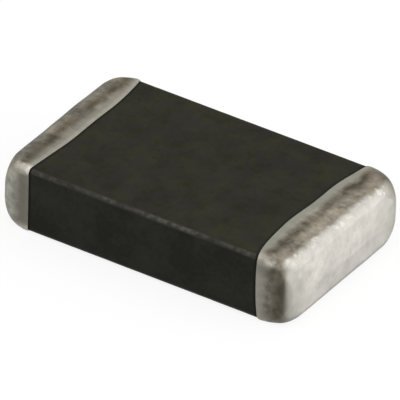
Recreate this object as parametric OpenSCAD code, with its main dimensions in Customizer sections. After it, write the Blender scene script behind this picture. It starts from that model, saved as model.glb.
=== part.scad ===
// Chip varistor: a zinc-oxide ceramic block with printed plates inside and a dipped silver cap on each end.
// The origin is the middle of the footprint, on the board. X runs along the chip and Z is up.

/* [Chip] */
// Length over both terminations
chip_l = 8.2; // [6:0.1:12]
// Width over the terminations
chip_w = 5; // [4:0.1:8]
// Thickness over the terminations
chip_t = 1.8; // [1.6:0.05:2.5]

/* [Ceramic body] */
// Radius of the four long edges
edge_r = 0.12; // [0.06:0.01:0.2]
// Length over which the front and back round off towards an end face
side_l = 0.74; // [0.4:0.01:0.9]
// Distance that the front and back come in by at an end face
side_in = 0.22; // [0.08:0.01:0.3]
// Length over which the top and bottom round off towards an end face
face_l = 0.28; // [0.15:0.01:0.4]
// Distance that the top and bottom come in by at an end face
face_in = 0.24; // [0.08:0.01:0.27]
// Corner radius of the end face
corner_r = 0.54; // [0.25:0.01:0.58]

/* [Terminations] */
// Thickness of the silver on the four sides
band_t = 0.025; // [0.015:0.005:0.04]
// Thickness of the silver on the end face, at its edge
end_t = 0.06; // [0.04:0.01:0.1]
// Height of the end face's middle over its edge
crown = 0.03; // [0.005:0.005:0.05]
// Length over which the silver thins out to its rim
rim_l = 0.05; // [0.02:0.01:0.08]
// Left band, from the end of the chip to the rim, at the long edges
left_band = 0.78; // [0.5:0.01:1.5]
// Right band, from the end of the chip to the rim, at the long edges
right_band = 0.95; // [0.5:0.01:1.5]
// Reach of the left rim beyond its band, on the top and bottom
left_bow = 0.13; // [0:0.01:0.4]
// Reach of the right rim beyond its band, on the top and bottom
right_bow = 0.22; // [0:0.01:0.4]
// Reach of both rims beyond their bands, on the front and back
side_bow = 0.02; // [0:0.01:0.1]
// Distance of the left bow's tip behind the middle
left_skew = 0.6; // [-0.8:0.1:0.8]
// Distance of the right bow's tip behind the middle
right_skew = -0.5; // [-0.8:0.1:0.8]

/* [Inner electrodes] */
// Number of printed plates
plate_count = 10; // [4:2:16]
// Thickness of a plate
plate_t = 0.005; // [0.003:0.001:0.01]
// Ceramic above the top plate and below the bottom one
cover_t = 0.3; // [0.28:0.01:0.4]
// Ceramic between a plate and the front or back
side_margin = 0.35; // [0.2:0.01:0.6]
// Ceramic between a plate's free end and the far end face
end_margin = 0.6; // [0.3:0.01:1]
// Corner radius of a plate's free end
print_r = 0.1; // [0.03:0.01:0.18]

/* [Smoothness] */
// Steps round a quarter of a section's corner
corner_steps = 6; // [4:1:10]
// Steps along a tumbled end
tumble_steps = 6; // [4:1:10]
// Steps along a band, from its rim to the end face
band_steps = 10; // [6:1:14]
// Steps across a band's top
across_steps = 14; // [6:2:20]
// Steps up a band's side
up_steps = 4; // [2:2:8]

/* [Hidden] */
ceramic_l = chip_l - 2 * (end_t + crown);
ceramic_w = chip_w - 2 * band_t;
ceramic_t = chip_t - 2 * band_t;
plate_w = ceramic_w - 2 * side_margin;
plate_l = ceramic_l - end_margin;
plate_pitch = (ceramic_t - 2 * cover_t - plate_t) / (plate_count - 1);
// Where the edge of the right end face lies
end_x = chip_l / 2 - crown;
// Steps round a whole circle at a plate's corners
print_steps = 32;
// Steps round a rim
rim_steps = 4;
// Steps from the edge of an end face to its middle
crown_steps = 4;
// How full the bow of a rim is: 2 is a parabola, and more is flatter in the middle
bow_power = 3;
// Distance that each plate's cut runs out past the block
run_out = 0.5;

function plate_name(i) = str("inner_electrode_", i < 9 ? "0" : "", i + 1);
PLATES = [for (i = [0 : plate_count - 1]) plate_name(i)];

// One corner of a section, as points on an arc about its centre in quarter k
function corner(k, y, z, r) = [
    for (j = [0 : corner_steps])
        let (a = 90 * (k + j / corner_steps))
        [y + r * cos(a), z + r * sin(a)]
];

// The points between p and q on a straight side cut into n steps, without its ends
function between(p, q, n) = n < 2 ? [] : [for (j = [1 : n - 1]) p + (q - p) * j / n];

// A rounded rectangle of half sizes w and h, with its long sides in n_w steps and its short ones in n_h
function section(w, h, r_wanted, n_w, n_h) =
    let (r = min(r_wanted, w, h))
    let (y = w - r)
    let (z = h - r)
    concat(
        corner(0, y, z, r),
        between([y, h], [-y, h], n_w),
        corner(1, -y, z, r),
        between([-w, z], [-w, -z], n_h),
        corner(2, -y, -z, r),
        between([-y, -h], [y, -h], n_w),
        corner(3, y, -z, r),
        between([w, -z], [w, z], n_h)
    );

// A section's points placed at x
function at_x(x, points) = [for (p = points) [x, p[0], p[1]]];

// Angle that a rounding of length l has turned by, at distance d from the end face
function turned(d, l) = asin(min(1, max(0, 1 - d / l)));

// The section at distance d from an end face, with roundings longer by s than the block's, grown by t
function tumbled(d, s, t, n_w, n_h) =
    let (side = turned(d, side_l + s))
    let (face = turned(d, face_l + s))
    section(
        ceramic_w / 2 - side_in * (1 - cos(side)) + t,
        ceramic_t / 2 - face_in * (1 - cos(face)) + t,
        edge_r + (corner_r - edge_r) * pow(sin(side), 2) + t,
        n_w,
        n_h
    );

function total(list, i = 0) = i < len(list) ? list[i] + total(list, i + 1) : [0, 0, 0];

// A closed solid through a list of rings that run along X and have the same number of points
module loft(rings) {
    n = len(rings[0]);
    last = len(rings) - 1;
    first_mid = total(rings[0]) / n;
    last_mid = total(rings[last]) / n;
    points = concat([for (ring = rings) each ring], [first_mid, last_mid]);
    walls = [
        for (k = [0 : last - 1])
            for (i = [0 : n - 1])
                let (a = k * n + i)
                let (b = k * n + (i + 1) % n)
                each [[a, a + n, b], [b, a + n, b + n]]
    ];
    first_end = [for (i = [0 : n - 1]) [i, (i + 1) % n, len(points) - 2]];
    last_end = [for (i = [0 : n - 1]) [last * n + (i + 1) % n, last * n + i, len(points) - 1]];
    polyhedron(points = points, faces = concat(walls, first_end, last_end), convexity = 4);
}

// The fired block before the plates are cut into it
module block() {
    // Distances from an end face, which draw together towards it
    right = [for (j = [0 : tumble_steps]) side_l * (1 - sin(90 * j / tumble_steps))];
    left = [for (j = [0 : tumble_steps]) right[tumble_steps - j]];
    right_end = [for (d = right) at_x(ceramic_l / 2 - d, tumbled(d, 0, 0, 1, 1))];
    left_end = [for (d = left) at_x(-ceramic_l / 2 + d, tumbled(d, 0, 0, 1, 1))];
    translate([0, 0, chip_t / 2]) loft(concat(left_end, right_end));
}

// The section that a band's rings follow, at distance d from the silver's end face and grown by t
function band_section(d, t) = tumbled(d, end_t, t, across_steps, up_steps);

// Distance of a rim from the end of the chip, at each point of the block's section
function rim_reach(band, bow, skew) = [
    for (p = band_section(side_l + end_t, 0))
        let (y = p[0] / (ceramic_w / 2))
        let (z = p[1] / (ceramic_t / 2))
        let (shifted = y - skew / (ceramic_w / 2) * (1 - y * y))
        band + bow * (1 - pow(abs(shifted), bow_power)) + side_bow * (1 - pow(abs(z), bow_power))
];

// A ring on the block grown by t, with x given for each of its points
function skin_ring(xs, t) = [
    for (i = [0 : len(xs) - 1])
        let (p = band_section(end_x - xs[i], t)[i])
        [xs[i], p[0], p[1]]
];

// The dipped silver of the right end, before the block is taken out of it
module dip(band, bow, skew) {
    rim_x = [for (reach = rim_reach(band, bow, skew)) chip_l / 2 - reach];
    // The silver starts inside the block, so that its rim meets the ceramic at a steep, clean edge
    root = skin_ring(rim_x, -band_t);
    rim = [
        for (j = [1 : rim_steps])
            let (a = 90 * j / rim_steps)
            skin_ring([for (x = rim_x) x + rim_l * (1 - cos(a))], band_t * sin(a))
    ];
    // The rings draw together towards the end face, where the section closes in fastest
    shoulder = [
        for (j = [1 : band_steps])
            let (share = sin(90 * j / band_steps))
            skin_ring([for (x = rim_x) x + rim_l + (end_x - x - rim_l) * share], band_t)
    ];
    edge = band_section(0, band_t);
    end_face = [
        for (j = [1 : crown_steps])
            let (share = 1 - j / (crown_steps + 1))
            at_x(end_x + crown * sin(90 * j / crown_steps), edge * share)
    ];
    loft(concat([root], rim, shoulder, end_face));
}

// The outline of one plate, from the left end face to its free end
module plate_outline() {
    translate([-ceramic_l / 2 - run_out, -plate_w / 2]) square([plate_l + run_out - print_r, plate_w]);
    free_x = -ceramic_l / 2 + plate_l - print_r;
    translate([free_x - print_r, -plate_w / 2 + print_r]) square([2 * print_r, plate_w - 2 * print_r]);
    for (side = [-1, 1]) {
        translate([free_x, side * (plate_w / 2 - print_r)]) circle(print_r, $fn = print_steps);
    }
}

// The space of plate i, which runs out past the end face that it reaches
module plate_space(i) {
    translate([0, 0, band_t + cover_t + i * plate_pitch])
        mirror([i % 2, 0, 0])
            linear_extrude(plate_t) plate_outline();
}

module ceramic_body() {
    color([0.2, 0.2, 0.17])
        difference() {
            block();
            for (i = [0 : plate_count - 1]) {
                plate_space(i);
            }
        }
}

module left_termination() {
    color([0.62, 0.6, 0.55])
        difference() {
            translate([0, 0, chip_t / 2]) mirror([1, 0, 0]) dip(left_band, left_bow, left_skew);
            block();
        }
}

module right_termination() {
    color([0.62, 0.6, 0.55])
        difference() {
            translate([0, 0, chip_t / 2]) dip(right_band, right_bow, right_skew);
            block();
        }
}

module inner_electrode(i) {
    color([0.75, 0.75, 0.76])
        intersection() {
            block();
            plate_space(i);
        }
}

ceramic_body();
left_termination();
right_termination();
for (i = [0 : plate_count - 1]) {
    inner_electrode(i);
}
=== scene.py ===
"""Dresses the chip varistor: a matt ceramic block with a dipped and fired silver cap on each end.

Lengths are in millimetres until a piece is finished, and heights in a finish are over the board.
"""

import logging
import math
from collections.abc import Iterable, Sequence
from dataclasses import dataclass, field
from enum import Enum

import bmesh
import bpy
from mathutils import Matrix, Vector, noise


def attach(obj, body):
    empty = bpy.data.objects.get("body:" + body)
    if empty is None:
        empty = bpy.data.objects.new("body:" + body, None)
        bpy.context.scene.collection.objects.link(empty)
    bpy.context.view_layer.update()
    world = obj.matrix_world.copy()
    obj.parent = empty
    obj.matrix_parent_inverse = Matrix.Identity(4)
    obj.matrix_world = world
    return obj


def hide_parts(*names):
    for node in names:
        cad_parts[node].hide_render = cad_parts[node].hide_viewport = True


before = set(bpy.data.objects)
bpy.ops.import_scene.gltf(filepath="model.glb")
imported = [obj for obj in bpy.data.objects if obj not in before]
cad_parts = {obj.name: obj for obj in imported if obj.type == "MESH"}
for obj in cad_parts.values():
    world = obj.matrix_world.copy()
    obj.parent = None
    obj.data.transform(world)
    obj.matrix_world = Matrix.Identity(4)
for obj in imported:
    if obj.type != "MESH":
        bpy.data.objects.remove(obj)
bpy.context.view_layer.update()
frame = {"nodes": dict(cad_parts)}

LOG = logging.getLogger("chip_varistor")
MM = 0.001
BODY = "root"
QUARTER_TURN = math.pi / 2
TINY = 1e-9
PATTERN_MIDDLE = 0.5
WHITE = (1.0, 1.0, 1.0)

Colour = tuple[float, float, float]
Point = tuple[float, float, float]
Span = tuple[float, float]
Socket = bpy.types.NodeSocket
VertShares = dict[bmesh.types.BMVert, float]


class End(Enum):
    """Which end of the chip a cap is on, as the sign of its place along the chip."""

    LEFT = -1
    RIGHT = 1


def smooth_step(value: float, low: float, high: float) -> float:
    """Rises softly from 0 to 1 between two values.

    Args:
        value: The number to place.
        low: Where the rise starts.
        high: Where the rise ends.

    Returns:
        The share of the rise, from 0 to 1.
    """
    share = min(1.0, max(0.0, (value - low) / (high - low)))
    return share * share * (3.0 - 2.0 * share)


def hill(value: float, centre: float, width: float) -> float:
    """Gives a bell-shaped hill that is 1 at its centre."""
    return math.exp(-(((value - centre) / width) ** 2))


def linked(name: str, data: bpy.types.ID) -> bpy.types.Object:
    """Makes an object of a mesh, a lamp or a camera, and links it to the scene.

    Args:
        name: The object's name.
        data: What it shows.

    Returns:
        The object, at the origin.
    """
    made = bpy.data.objects.new(name, data)
    bpy.context.scene.collection.objects.link(made)
    return made


def from_mesh(name: str, mesh: bmesh.types.BMesh) -> bpy.types.Object:
    """Makes an object of a mesh that has been worked on, and frees that mesh.

    Args:
        name: The object's name.
        mesh: The mesh, in metres.

    Returns:
        The object, at the origin.
    """
    data = bpy.data.meshes.new(name)
    mesh.to_mesh(data)
    mesh.free()
    return linked(name, data)


@dataclass(frozen=True)
class Lumps:
    """A soft unevenness from about -1 to 1, whose seed makes it differ from the others."""

    per_mm: float
    seed: float
    slant: float = 0.7

    def at(self, place: Vector) -> float:
        """Gives the height of the unevenness at a place."""
        shift = Vector((self.seed, self.seed * self.slant, -self.seed))
        return noise.noise(place * self.per_mm + shift)

    def reseeded(self, change: float) -> "Lumps":
        """Gives another unevenness of the same kind."""
        return Lumps(self.per_mm, self.seed + change, self.slant)


@dataclass(frozen=True)
class Section:
    """A rounded rectangle across the chip, about its middle."""

    half_width: float
    half_height: float
    radius: float

    def scaled(self, share: float) -> "Section":
        """Draws the section in towards its middle."""
        return Section(self.half_width * share, self.half_height * share, self.radius * share)


@dataclass(frozen=True)
class RingPlan:
    """How many steps a ring of points has in each part of a section."""

    corner: int
    across: int
    up: int

    def points(self, section: Section) -> list[tuple[float, float]]:
        """Walks once round a section.

        Args:
            section: The rounded rectangle to follow.

        Returns:
            The points across and up, starting on the right-hand wall.
        """
        radius = min(section.radius, section.half_width, section.half_height)
        flat_y, flat_z = section.half_width - radius, section.half_height - radius
        walked: list[tuple[float, float]] = []
        for quarter, (side_y, side_z) in enumerate(((1, 1), (-1, 1), (-1, -1), (1, -1))):
            for step in range(self.corner + 1):
                angle = QUARTER_TURN * (quarter + step / self.corner)
                across = side_y * flat_y + radius * math.cos(angle)
                walked.append((across, side_z * flat_z + radius * math.sin(angle)))
            level = quarter % 2 == 0
            steps, reach = (self.across, 2 * flat_y) if level else (self.up, 2 * flat_z)
            last_y, last_z = walked[-1]
            turn = QUARTER_TURN * (quarter + 2)
            for step in range(1, steps):
                way = reach * step / steps
                walked.append((last_y + way * math.cos(turn), last_z + way * math.sin(turn)))
        return walked


@dataclass(frozen=True)
class ChipForm:
    """The chip's sizes, with the same values as in the part's source."""

    length: float = 8.2
    width: float = 5.0
    thickness: float = 1.8
    edge_radius: float = 0.12
    side_length: float = 0.74
    side_inset: float = 0.22
    face_length: float = 0.28
    face_inset: float = 0.24
    corner_radius: float = 0.54
    band: float = 0.025
    end_band: float = 0.06
    crown: float = 0.03
    rim_length: float = 0.05

    @property
    def end_edge(self) -> float:
        """Distance of an end face's edge from the middle of the chip."""
        return self.length / 2 - self.crown

    @property
    def ceramic_end(self) -> float:
        """Distance of the ceramic's end face from the middle of the chip."""
        return self.end_edge - self.end_band

    @property
    def ceramic_half_width(self) -> float:
        """Half the width of the bare ceramic."""
        return self.width / 2 - self.band

    @property
    def ceramic_half_height(self) -> float:
        """Half the thickness of the bare ceramic."""
        return self.thickness / 2 - self.band

    def tumbled(self, back: float, longer: float, grown: float) -> Section:
        """Gives the section at a distance back from an end face.

        Args:
            back: The distance from the end face's edge.
            longer: How much longer than on the ceramic the tumbled end is.
            grown: How far outside the ceramic the section lies.

        Returns:
            The rounded rectangle at that place.
        """
        side = self._turned(back, self.side_length + longer)
        face = self._turned(back, self.face_length + longer)
        radius = self.edge_radius + (self.corner_radius - self.edge_radius) * math.sin(side) ** 2
        return Section(
            self.ceramic_half_width - self.side_inset * (1 - math.cos(side)) + grown,
            self.ceramic_half_height - self.face_inset * (1 - math.cos(face)) + grown,
            radius + grown,
        )

    def bare(self, along: float, grown: float = 0.0) -> Section:
        """Gives the ceramic's section at a distance from the middle of the chip."""
        return self.tumbled(self.ceramic_end - along, 0.0, grown)

    def coated(self, along: float, grown: float) -> Section:
        """Gives the silver's section at a distance from the middle of the chip."""
        return self.tumbled(self.end_edge - along, self.end_band, grown)

    def _turned(self, back: float, length: float) -> float:
        """Gives the angle that a rounding of some length has turned by."""
        return math.asin(min(1.0, max(0.0, 1 - back / length)))


@dataclass(frozen=True)
class Wave:
    """A gentle wave of a rim across the chip."""

    height: float
    pace: float
    start: float

    def at(self, place: float) -> float:
        """Gives the wave's height at a place from -1 to 1 across the chip."""
        return self.height * math.sin(self.pace * place + self.start)


@dataclass(frozen=True)
class RimLine:
    """The edge that the dipped silver ends in, measured from the end of the chip."""

    band: float
    bow: float
    skew: float
    lean: float
    waves: tuple[Wave, ...]
    side_bow: float = 0.02
    fullness: float = 3.0

    def reach(self, form: ChipForm, across: float, up: float) -> float:
        """Gives the distance of the rim from the end of the chip.

        Args:
            form: The chip's sizes.
            across: The place across the chip, from its middle.
            up: The place above or below the chip's middle.

        Returns:
            The distance along the chip.
        """
        side = max(-1.0, min(1.0, across / form.ceramic_half_width))
        rise = max(-1.0, min(1.0, up / form.ceramic_half_height))
        shifted = side - self.skew / form.ceramic_half_width * (1 - side * side)
        bowed = self.bow * (1 - abs(shifted) ** self.fullness)
        bulged = self.side_bow * (1 - abs(rise) ** self.fullness)
        leaned = self.lean * (1 - rise) ** 2 / 2
        waved = sum(wave.at(side) for wave in self.waves)
        return self.band + bowed + bulged - leaned - waved


class GrownSkin:
    """A skin that grows ring by ring: each ring is extruded from the last and moved into place."""

    def __init__(self, first: Sequence[Point], kept: Sequence[str]) -> None:
        """Starts the skin with a circle that is moved onto its first ring.

        Args:
            first: The points of the first ring.
            kept: The names of the numbers that the mesh keeps with its vertices.
        """
        self.mesh = bmesh.new()
        for name in kept:
            self.mesh.verts.layers.float.new(name)
        made = bmesh.ops.create_circle(self.mesh, segments=len(first), radius=1.0)
        self.first: list[bmesh.types.BMVert] = list(made["verts"])
        self.ring = self.first
        self._place(first)

    def _place(self, points: Sequence[Point]) -> None:
        """Moves the ring that grows onto its points."""
        for vert, point in zip(self.ring, points, strict=True):
            vert.co = point

    def _ring_edges(self) -> list[bmesh.types.BMEdge]:
        """Gives the edges between the neighbours of the ring that grows."""
        following = self.ring[1:] + self.ring[:1]
        return [self.mesh.edges.get(pair) for pair in zip(self.ring, following)]

    def grow(self, points: Sequence[Point]) -> list[bmesh.types.BMVert]:
        """Extrudes the last ring and moves the new one into place.

        Args:
            points: The new ring's points.

        Returns:
            The new ring.
        """
        made = bmesh.ops.extrude_edge_only(self.mesh, edges=self._ring_edges())
        new = {part for part in made["geom"] if isinstance(part, bmesh.types.BMVert)}
        self.ring = [
            next(edge.other_vert(vert) for edge in vert.link_edges if edge.other_vert(vert) in new)
            for vert in self.ring
        ]
        self._place(points)
        return self.ring

    def close(self, middle: Point) -> bmesh.types.BMVert:
        """Draws the last ring together into one point.

        Args:
            middle: Where the point lies.

        Returns:
            The point's vertex.
        """
        self.grow([middle] * len(self.ring))
        bmesh.ops.pointmerge(self.mesh, verts=self.ring, merge_co=middle)
        return next(vert for vert in self.ring if vert.is_valid)

    def restart(self) -> None:
        """Goes back to the first ring, from which the skin can grow the other way."""
        self.ring = self.first

    def turn_outwards(self) -> None:
        """Turns every face outwards."""
        bmesh.ops.recalc_face_normals(self.mesh, faces=self.mesh.faces)
        self.mesh.normal_update()

    def keep(self, name: str, shares: VertShares) -> None:
        """Keeps a number with each vertex, for the piece's finish to read.

        Args:
            name: The number's name.
            shares: The number of each vertex; the others keep 0.
        """
        layer = self.mesh.verts.layers.float[name]
        for vert, share in shares.items():
            vert[layer] = share

    def finish(self, name: str, form: ChipForm) -> bpy.types.Object:
        """Stands the skin on the board and makes it an object in metres.

        Args:
            name: The piece's name.
            form: The chip's sizes, for the height of its middle over the board.

        Returns:
            The finished object, at the origin.
        """
        bmesh.ops.translate(self.mesh, verts=self.mesh.verts, vec=(0, 0, form.thickness / 2))
        bmesh.ops.scale(self.mesh, verts=self.mesh.verts, vec=(MM, MM, MM))
        for face in self.mesh.faces:
            face.smooth = True
        return from_mesh(name, self.mesh)


@dataclass(frozen=True)
class Number:
    """A number that a node gives; Python's operators on it add Math nodes."""

    shader: "Shader"
    socket: Socket

    def __add__(self, other: "Number | float") -> "Number":
        """Adds a number."""
        return self.shader.maths("ADD", self, other)

    def __radd__(self, other: float) -> "Number":
        """Adds to a number."""
        return self.shader.maths("ADD", other, self)

    def __sub__(self, other: "Number | float") -> "Number":
        """Takes a number away."""
        return self.shader.maths("SUBTRACT", self, other)

    def __rsub__(self, other: float) -> "Number":
        """Is taken away from a number."""
        return self.shader.maths("SUBTRACT", other, self)

    def __mul__(self, other: "Number | float") -> "Number":
        """Multiplies by a number."""
        return self.shader.maths("MULTIPLY", self, other)

    def __rmul__(self, other: float) -> "Number":
        """Multiplies a number."""
        return self.shader.maths("MULTIPLY", other, self)

    def __abs__(self) -> "Number":
        """Drops the sign."""
        return self.shader.maths("ABSOLUTE", self)

    def within(self) -> "Number":
        """Holds the number between 0 and 1."""
        return self.shader.maths("ADD", self, 0.0, clamp=True)

    def swing(self) -> "Number":
        """Gives a pattern as a swing to both sides of 0."""
        return self - PATTERN_MIDDLE

    def lifted(self, least: float, most: float = 1.0) -> "Number":
        """Makes a share run from a least to a most value."""
        return least + self * (most - least)

    def blended(self, other: "Number", share: "Number | float") -> "Number":
        """Gives this number where a share is 0, and the other one where it is 1."""
        return self * (1.0 - share) + other * share

    def rising(self, low: float, high: float) -> "Number":
        """Rises softly from 0 at one value to 1 at another, or falls where high is under low.

        Args:
            low: The value that gives 0.
            high: The value that gives 1.

        Returns:
            The share of the rise.
        """
        values = {"Value": self, "From Min": min(low, high), "From Max": max(low, high)}
        if low > high:
            values |= {"To Min": 1.0, "To Max": 0.0}
        settings = {"interpolation_type": "SMOOTHSTEP"}
        return self.shader.number("ShaderNodeMapRange", settings, values)

    def peak(self, centre: float, half_width: float) -> "Number":
        """Gives a soft hill that is 1 at its centre and 0 beyond its half width."""
        return abs(self - centre).rising(half_width, 0.0)


@dataclass(frozen=True)
class Pattern:
    """A soft random pattern: its clouds in a millimetre, its finer layers and their strength."""

    per_mm: float
    layers: float = 2.0
    strength: float = 0.5


class Shader:
    """The nodes of a material or of the surroundings."""

    def __init__(self, owner: bpy.types.Material | bpy.types.World) -> None:
        """Starts with no nodes.

        Args:
            owner: The material or the surroundings.
        """
        owner.use_nodes = True
        self.owner = owner
        self.tree = owner.node_tree
        self.tree.nodes.clear()

    @classmethod
    def material(cls, name: str) -> "Shader":
        """Starts an empty material."""
        return cls(bpy.data.materials.new(name))

    def node(
        self, kind: str, settings: dict | None = None, values: dict | None = None
    ) -> bpy.types.Node:
        """Adds a node.

        Args:
            kind: The node's type.
            settings: Its settings by name, which are set first.
            values: The values or links of its input sockets, by name or number.

        Returns:
            The new node.
        """
        made = self.tree.nodes.new(kind)
        for name, setting in (settings or {}).items():
            setattr(made, name, setting)
        for name, value in (values or {}).items():
            self._feed(made.inputs[name], value)
        return made

    def _feed(self, socket: Socket, value: object) -> None:
        """Links a socket, or sets its value.

        Args:
            socket: The input socket.
            value: What is linked, or else a plain value.
        """
        if isinstance(value, Number):
            value = value.socket
        if isinstance(value, Socket):
            self.tree.links.new(value, socket)
        elif isinstance(value, tuple) and socket.type == "RGBA":
            socket.default_value = (*value, 1.0)
        else:
            socket.default_value = value

    def number(self, kind: str, settings: dict | None, values: dict) -> Number:
        """Adds a node whose first output is a number."""
        return Number(self, self.node(kind, settings, values).outputs[0])

    def maths(self, operation: str, *values: Number | float, clamp: bool = False) -> Number:
        """Adds a Math node.

        Args:
            operation: The node's operation.
            *values: Its one or two numbers.
            clamp: Whether the result is held between 0 and 1.

        Returns:
            The result.
        """
        settings = {"operation": operation, "use_clamp": clamp}
        return self.number("ShaderNodeMath", settings, dict(enumerate(values)))

    def scaled(self, vector: Socket, share: Number | float) -> Socket:
        """Multiplies a place or a colour by a number."""
        values = {0: vector, "Scale": share}
        return self.node("ShaderNodeVectorMath", {"operation": "SCALE"}, values).outputs[0]

    def millimetres(self) -> Socket:
        """Gives the place on the piece in millimetres."""
        return self.scaled(self.node("ShaderNodeTexCoord").outputs["Object"], 1 / MM)

    def axes(self, place: Socket) -> tuple[Number, Number, Number]:
        """Splits a place into its numbers along, across and up."""
        parts = self.node("ShaderNodeSeparateXYZ", None, {0: place}).outputs
        return Number(self, parts[0]), Number(self, parts[1]), Number(self, parts[2])

    def share(self, name: str) -> Number:
        """Reads a number that the mesh keeps with its vertices."""
        read = self.node("ShaderNodeAttribute", {"attribute_name": name})
        return Number(self, read.outputs["Fac"])

    def seen(self) -> Number:
        """Tells what the camera, reflections and glass see from the light that falls on the chip.

        Returns:
            1 for what is seen, and 0 for the light.
        """
        rays = self.node("ShaderNodeLightPath").outputs
        kinds = ("Is Camera Ray", "Is Glossy Ray", "Is Transmission Ray")
        camera, glossy, through = (Number(self, rays[kind]) for kind in kinds)
        return (camera + glossy + through).within()

    def cloud(self, place: Socket, pattern: Pattern) -> Number:
        """Adds a soft random pattern.

        Args:
            place: The place on the piece.
            pattern: The kind of pattern.

        Returns:
            The pattern's value, about 0.5 in the middle.
        """
        values = {
            "Vector": place,
            "Scale": pattern.per_mm,
            "Detail": pattern.layers,
            "Roughness": pattern.strength,
        }
        return self.number("ShaderNodeTexNoise", None, values)

    def mixed(self, share: Number, start: Colour | Socket, end: Colour | Socket) -> Socket:
        """Mixes two colours, by the share of the second one."""
        settings = {"data_type": "RGBA", "clamp_factor": True}
        return self.node("ShaderNodeMix", settings, {0: share, 6: start, 7: end}).outputs[2]

    def relief(self, height: Number, depth: float) -> Socket:
        """Makes a pattern into bumps of a depth in millimetres, as a normal."""
        values = {"Height": height, "Distance": depth * MM, "Strength": 1.0}
        return self.node("ShaderNodeBump", None, values).outputs[0]

    def chosen(self, share: Number, start: bpy.types.Node, end: bpy.types.Node) -> Socket:
        """Mixes two surfaces or backgrounds, by the share of the second one."""
        values = {0: share, 1: start.outputs[0], 2: end.outputs[0]}
        return self.node("ShaderNodeMixShader", None, values).outputs[0]

    def finish(self, values: dict) -> bpy.types.Material:
        """Adds the surface shader.

        Args:
            values: The values or links of its sockets.

        Returns:
            The finished material.
        """
        surface = self.node("ShaderNodeBsdfPrincipled", None, values)
        self.node("ShaderNodeOutputMaterial", None, {"Surface": surface.outputs[0]})
        return self.owner


@dataclass(frozen=True)
class SinteredCeramic:
    """The matt, very dark olive-grey face of the fired block, with its worn and flecked edges.

    The pressed top and bottom are patchy and more olive than the cut front and back.
    """

    dark: Colour = (0.0100, 0.0098, 0.0030)
    light: Colour = (0.0270, 0.0266, 0.0118)
    neutral: Colour = (0.0205, 0.0182, 0.0165)
    side_dark: Colour = (0.0120, 0.0130, 0.0090)
    side_light: Colour = (0.0258, 0.0273, 0.0190)
    worn: Colour = (0.078, 0.074, 0.064)
    fleck: Colour = (0.165, 0.160, 0.142)
    shaded: Colour = (0.0035, 0.0028, 0.0018)
    # Patterns, from the broadest to the finest
    handling: Pattern = Pattern(1.0)
    patches: Pattern = Pattern(1.3, 3.0, 0.6)
    hues: Pattern = Pattern(3.0, 3.0, 0.6)
    soft_wear: Pattern = Pattern(4.0, 3.0, 0.6)
    chips: Pattern = Pattern(6.5)
    grain: Pattern = Pattern(8.0, 3.0, 0.6)
    pores: Pattern = Pattern(34.0, 2.0, 0.6)
    grain_share: float = 0.4
    neutral_share: float = 0.55
    # Where a pattern rises from nothing to its full strength
    patch_rise: Span = (0.38, 0.62)
    hue_rise: Span = (0.40, 0.60)
    cut_rise: Span = (0.3, 0.7)
    handling_rise: Span = (0.36, 0.60)
    chip_rise: Span = (0.42, 0.68)
    # Distances from the long edges and from the rims
    edge_wander: float = 0.05
    edge_reach: Span = (0.130, 0.062)
    chip_reach: Span = (0.108, 0.062)
    rim_reach: Span = (0.095, 0.025)
    # Strengths
    least_wear: float = 0.30
    patchy_wear: float = 0.34
    handled_wear: float = 0.26
    least_chips: float = 0.20
    handled_chips: float = 0.42
    rim_shade: float = 0.92
    roughness: float = 0.6
    grain_roughness: float = 0.3
    specular: float = 0.1
    depth: float = 0.004

    def material(self) -> bpy.types.Material:
        """Makes the finish.

        Returns:
            The finished material.
        """
        shader = Shader.material("sintered_ceramic")
        place = shader.millimetres()
        grain = shader.cloud(place, self.grain)
        height = grain.blended(shader.cloud(place, self.pores), self.grain_share)
        return shader.finish(
            {
                "Base Color": self._worn(shader, place, self._faces(shader, place, grain)),
                "Roughness": self.roughness + grain.swing() * self.grain_roughness,
                "Specular IOR Level": self.specular,
                "Normal": shader.relief(height, self.depth),
            }
        )

    def _faces(self, shader: Shader, place: Socket, grain: Number) -> Socket:
        """Tones the pressed and the cut faces.

        Args:
            shader: The finish that is being made.
            place: The place on the block.
            grain: The ceramic's fine pattern.

        Returns:
            The colour.
        """
        patchy = shader.cloud(place, self.patches).blended(grain, self.grain_share)
        patchy = patchy.rising(*self.patch_rise)
        hue = shader.cloud(place, self.hues).rising(*self.hue_rise) * self.neutral_share
        pressed = shader.mixed(hue, shader.mixed(patchy, self.dark, self.light), self.neutral)
        cut = shader.mixed(patchy, self.side_dark, self.side_light)
        return shader.mixed(shader.share("side").rising(*self.cut_rise), pressed, cut)

    def _worn(self, shader: Shader, place: Socket, faces: Socket) -> Socket:
        """Wears and flecks the long edges, and shades the line beside each rim of silver.

        Args:
            shader: The finish that is being made.
            place: The place on the block.
            faces: The colour of the faces.

        Returns:
            The colour.
        """
        off_edge = shader.share("off_edge")
        soft = shader.cloud(place, self.soft_wear)
        handled = shader.cloud(place, self.handling).rising(*self.handling_rise)
        edge = (off_edge + soft.swing() * self.edge_wander).rising(*self.edge_reach)
        patchy = soft.rising(*self.patch_rise) * self.patchy_wear
        wear = edge * (self.least_wear + patchy + handled * self.handled_wear)
        chips = shader.cloud(place, self.chips).rising(*self.chip_rise)
        chips = chips * off_edge.rising(*self.chip_reach)
        chips = chips * (self.least_chips + handled * self.handled_chips)
        chipped = shader.mixed(chips, shader.mixed(wear, faces, self.worn), self.fleck)
        beside_rim = shader.share("from_rim").rising(*self.rim_reach) * self.rim_shade
        return shader.mixed(beside_rim, chipped, self.shaded)


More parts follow.
